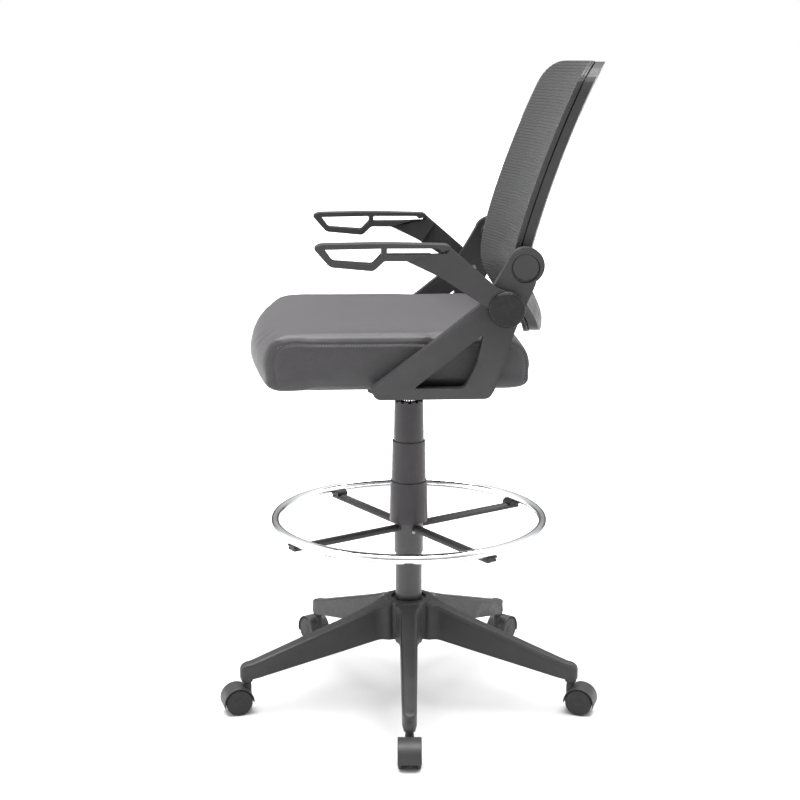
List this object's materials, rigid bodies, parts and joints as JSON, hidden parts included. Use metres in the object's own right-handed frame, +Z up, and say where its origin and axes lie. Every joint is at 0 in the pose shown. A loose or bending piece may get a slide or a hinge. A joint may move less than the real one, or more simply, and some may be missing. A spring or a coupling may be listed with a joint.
{
  "type": "drafting chair",
  "caption": "Tall swivel chair with a padded seat, curved mesh back, flip-up loop arms, gas lift with telescopic covers, chromed foot ring and star base on twin-wheel casters.",
  "frame": {"origin": "on the floor, under the middle of the chair's bounding box; the lift column stands 23.4 mm to -X and 5.3 mm to +Y of it", "axes": "+Z up; the sitter faces -Y and the sitter's left hand is at +X"},
  "size_m": [0.6803, 0.7022, 1.186],
  "materials": {
    "glass_filled_nylon": "fine spark-eroded texture",
    "black_plastic": "fine satin grain",
    "cap_plastic": "semi-gloss",
    "wheel_nylon": "smooth satin",
    "sleeve_plastic": "smooth satin",
    "coated_steel": "black powder coat",
    "chrome_plate": "polished",
    "zinc_steel": "zinc plated",
    "plywood": "unfinished birch plywood",
    "leatherette": "fine grained, satin",
    "back_mesh_fabric": "ribbed knitted mesh"
  },
  "bodies": {
    "base": {"base_star": "glass_filled_nylon", "gas_lift_tube": "coated_steel", "gas_lift_guide_bush": "black_plastic", "lower_cover_sleeve": "sleeve_plastic"},
    "lift_spindle": {"gas_lift_spindle": "zinc_steel"},
    "mechanism": {"gas_lift_cylinder": "chrome_plate", "tilt_mechanism_housing": "coated_steel", "tilt_pin": "zinc_steel"},
    "middle_sleeve": {"middle_cover_sleeve": "sleeve_plastic"},
    "upper_sleeve": {"upper_cover_sleeve": "sleeve_plastic"},
    "foot_ring": {"foot_ring_tube": "chrome_plate", "foot_ring_collar": "coated_steel", "foot_ring_spoke_1": "black_plastic", "foot_ring_spoke_2": "black_plastic", "foot_ring_spoke_3": "black_plastic", "foot_ring_spoke_4": "black_plastic"},
    "clamp_knob": {"foot_ring_clamp_knob": "black_plastic"},
    "tension_knob": {"tilt_tension_knob": "black_plastic"},
    "lift_lever": {"height_lever": "black_plastic"},
    "seat": {"seat_plate": "coated_steel", "seat_board": "plywood", "seat_cushion": "leatherette", "side_bracket_left": "glass_filled_nylon", "side_bracket_right": "glass_filled_nylon", "back_boss_cap_left": "black_plastic", "back_boss_cap_right": "black_plastic", "arm_pivot_pin_left": "zinc_steel", "arm_pivot_pin_right": "zinc_steel", "back_frame": "black_plastic", "back_mesh_carrier": "black_plastic", "back_mesh": "back_mesh_fabric"},
    "arm_left": {"arm_left": "black_plastic", "arm_pivot_cap_left": "cap_plastic"},
    "arm_right": {"arm_right": "black_plastic", "arm_pivot_cap_right": "cap_plastic"},
    "caster_1": {"caster_stem_1": "zinc_steel", "caster_hood_1": "black_plastic", "caster_axle_1": "zinc_steel"},
    "wheel_1_a": {"caster_wheel_1_a": "wheel_nylon"},
    "wheel_1_b": {"caster_wheel_1_b": "wheel_nylon"},
    "caster_2": {"caster_stem_2": "zinc_steel", "caster_hood_2": "black_plastic", "caster_axle_2": "zinc_steel"},
    "wheel_2_a": {"caster_wheel_2_a": "wheel_nylon"},
    "wheel_2_b": {"caster_wheel_2_b": "wheel_nylon"},
    "caster_3": {"caster_stem_3": "zinc_steel", "caster_hood_3": "black_plastic", "caster_axle_3": "zinc_steel"},
    "wheel_3_a": {"caster_wheel_3_a": "wheel_nylon"},
    "wheel_3_b": {"caster_wheel_3_b": "wheel_nylon"},
    "caster_4": {"caster_stem_4": "zinc_steel", "caster_hood_4": "black_plastic", "caster_axle_4": "zinc_steel"},
    "wheel_4_a": {"caster_wheel_4_a": "wheel_nylon"},
    "wheel_4_b": {"caster_wheel_4_b": "wheel_nylon"},
    "caster_5": {"caster_stem_5": "zinc_steel", "caster_hood_5": "black_plastic", "caster_axle_5": "zinc_steel"},
    "wheel_5_a": {"caster_wheel_5_a": "wheel_nylon"},
    "wheel_5_b": {"caster_wheel_5_b": "wheel_nylon"}
  },
  "joints": [
    {"name": "arm_left_flip", "type": "hinge", "parent": "seat", "child": "arm_left", "pos_m": [0.2526, 0.1491, 0.7844], "axis": [-1, 0, 0], "range_deg": [0, 90]},
    {"name": "arm_right_flip", "type": "hinge", "parent": "seat", "child": "arm_right", "pos_m": [-0.2994, 0.1491, 0.7844], "axis": [-1, 0, 0], "range_deg": [0, 90]},
    {"name": "foot_ring_height", "type": "slide", "parent": "base", "child": "foot_ring", "axis": [0, 0, 1], "range_m": [-0.08, 0]},
    {"name": "knob_clamp_turn", "type": "hinge", "parent": "foot_ring", "child": "clamp_knob", "pos_m": [-0.0634, 0.0053, 0.301], "axis": [1, 0, 0], "range_deg": [0, 360]},
    {"name": "knob_tension_turn", "type": "hinge", "parent": "mechanism", "child": "tension_knob", "pos_m": [-0.0234, -0.0897, 0.612], "axis": [0, 1, 0], "range_deg": [-720, 720]},
    {"name": "lever_height_lift", "type": "hinge", "parent": "mechanism", "child": "lift_lever", "pos_m": [-0.0684, -0.0247, 0.608], "axis": [0, 1, 0], "range_deg": [0, 6], "stiffness_Nm_per_rad": 2, "springref_deg": -5.73},
    {"name": "seat_height", "type": "slide", "parent": "lift_spindle", "child": "mechanism", "axis": [0, 0, 1], "range_m": [-0.15, 0]},
    {"name": "seat_swivel", "type": "hinge", "parent": "base", "child": "lift_spindle", "pos_m": [-0.0234, 0.0053, 0.3], "axis": [0, 0, 1], "continuous": true},
    {"name": "seat_tilt", "type": "hinge", "parent": "mechanism", "child": "seat", "pos_m": [-0.0234, -0.0567, 0.62], "axis": [-1, 0, 0], "range_deg": [0, 10], "stiffness_Nm_per_rad": 80, "springref_deg": -14.32},
    {"name": "sleeve_middle_slide", "type": "slide", "parent": "base", "child": "middle_sleeve", "axis": [0, 0, 1], "range_m": [-0.064, 0]},
    {"name": "sleeve_upper_slide", "type": "slide", "parent": "base", "child": "upper_sleeve", "axis": [0, 0, 1], "range_m": [-0.1405, 0]},
    {"name": "swivel_caster_1", "type": "hinge", "parent": "base", "child": "caster_1", "pos_m": [0.29208, -0.01289, 0.06], "axis": [0, 0, 1], "continuous": true},
    {"name": "wheel_spin_1_a", "type": "hinge", "parent": "caster_1", "child": "wheel_1_a", "pos_m": [0.31195, 0.00169, 0.025], "axis": [0.0576, 0.9983, 0], "continuous": true},
    {"name": "wheel_spin_1_b", "type": "hinge", "parent": "caster_1", "child": "wheel_1_b", "pos_m": [0.31014, -0.02966, 0.025], "axis": [0.0576, 0.9983, 0], "continuous": true},
    {"name": "swivel_caster_2", "type": "hinge", "parent": "base", "child": "caster_2", "pos_m": [0.09139, 0.29971, 0.06], "axis": [0, 0, 1], "continuous": true},
    {"name": "wheel_spin_2_a", "type": "hinge", "parent": "caster_2", "child": "wheel_2_a", "pos_m": [0.08366, 0.32312, 0.025], "axis": [-0.9317, 0.3633, 0], "continuous": true},
    {"name": "wheel_spin_2_b", "type": "hinge", "parent": "caster_2", "child": "wheel_2_b", "pos_m": [0.11292, 0.31171, 0.025], "axis": [-0.9317, 0.3633, 0], "continuous": true},
    {"name": "swivel_caster_3", "type": "hinge", "parent": "base", "child": "caster_3", "pos_m": [-0.26793, 0.20545, 0.06], "axis": [0, 0, 1], "continuous": true},
    {"name": "wheel_spin_3_a", "type": "hinge", "parent": "caster_3", "child": "wheel_3_a", "pos_m": [-0.29258, 0.20533, 0.025], "axis": [-0.6334, -0.7738, 0], "continuous": true},
    {"name": "wheel_spin_3_b", "type": "hinge", "parent": "caster_3", "child": "wheel_3_b", "pos_m": [-0.27269, 0.22963, 0.025], "axis": [-0.6334, -0.7738, 0], "continuous": true},
    {"name": "swivel_caster_4", "type": "hinge", "parent": "base", "child": "caster_4", "pos_m": [-0.28932, -0.16542, 0.06], "axis": [0, 0, 1], "continuous": true},
    {"name": "wheel_spin_4_a", "type": "hinge", "parent": "caster_4", "child": "wheel_4_a", "pos_m": [-0.29682, -0.18889, 0.025], "axis": [0.5402, -0.8415, 0], "continuous": true},
    {"name": "wheel_spin_4_b", "type": "hinge", "parent": "caster_4", "child": "wheel_4_b", "pos_m": [-0.31379, -0.16247, 0.025], "axis": [0.5402, -0.8415, 0], "continuous": true},
    {"name": "swivel_caster_5", "type": "hinge", "parent": "base", "child": "caster_5", "pos_m": [0.05679, -0.30036, 0.06], "axis": [0, 0, 1], "continuous": true},
    {"name": "wheel_spin_5_a", "type": "hinge", "parent": "caster_5", "child": "wheel_5_a", "pos_m": [0.0768, -0.31475, 0.025], "axis": [0.9673, 0.2538, 0], "continuous": true},
    {"name": "wheel_spin_5_b", "type": "hinge", "parent": "caster_5", "child": "wheel_5_b", "pos_m": [0.04642, -0.32272, 0.025], "axis": [0.9673, 0.2538, 0], "continuous": true}
  ],
  "couplings": [
    {"joint": "sleeve_middle_slide", "follows": "seat_height", "ratio": 0.42},
    {"joint": "sleeve_upper_slide", "follows": "seat_height", "ratio": 0.93}
  ]
}
